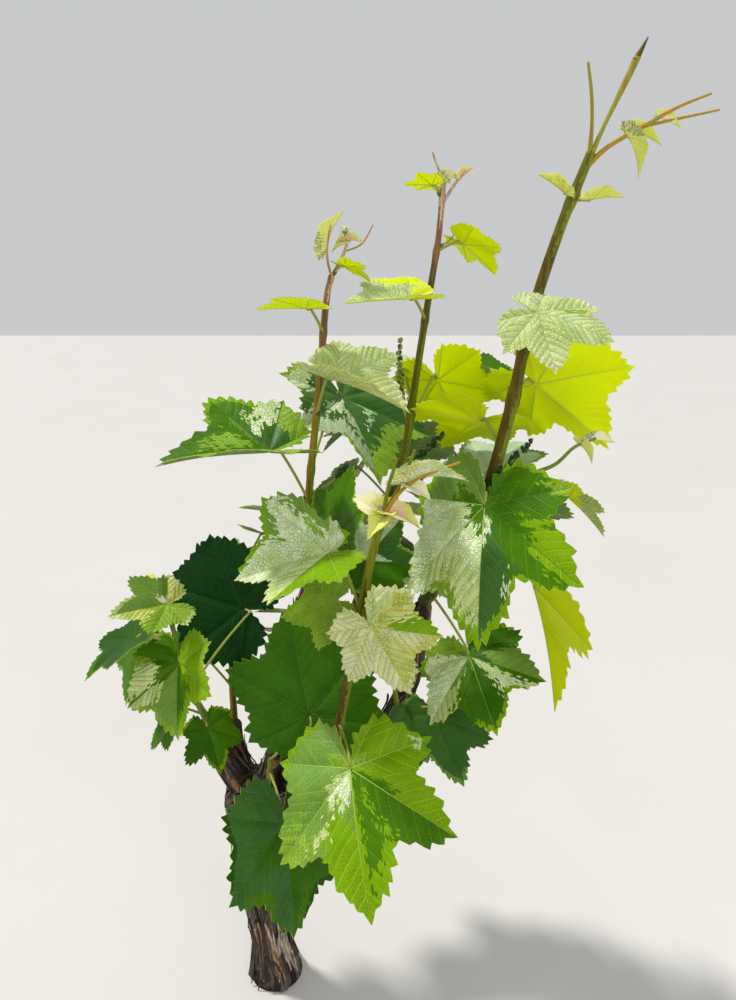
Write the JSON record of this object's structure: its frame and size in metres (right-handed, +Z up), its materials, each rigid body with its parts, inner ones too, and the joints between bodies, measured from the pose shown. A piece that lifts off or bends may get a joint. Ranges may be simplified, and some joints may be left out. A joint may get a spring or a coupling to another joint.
{
  "type": "young grapevine",
  "caption": "Young grapevine rooted in the ground: a short gnarled trunk, woody arms and spurs, and leafy green spring shoots with tendrils and flower-bud clusters.",
  "frame": {"origin": "centre of the flat cut under the trunk, on the ground", "axes": "+Z up along the trunk, +X to the right in the picture, -Y towards the viewer"},
  "size_m": [0.4895, 0.4061, 0.9113],
  "materials": {
    "old_wood": "rough shaggy bark",
    "foliage": "satin quilted leaves on green canes"
  },
  "bodies": {
    "root": {"trunk": "old_wood", "arm_left": "old_wood", "arm_middle": "old_wood", "arm_right": "old_wood", "arm_centre": "old_wood", "spur_front": "old_wood", "spur_back_right": "old_wood", "spur_back_left": "old_wood", "shoot_left": "foliage", "shoot_middle": "foliage", "shoot_front": "foliage", "shoot_tall": "foliage", "shoot_side": "foliage", "shoot_low": "foliage", "shoot_low_right": "foliage", "shoot_back_right": "foliage", "shoot_back_left": "foliage"}
  },
  "joints": []
}
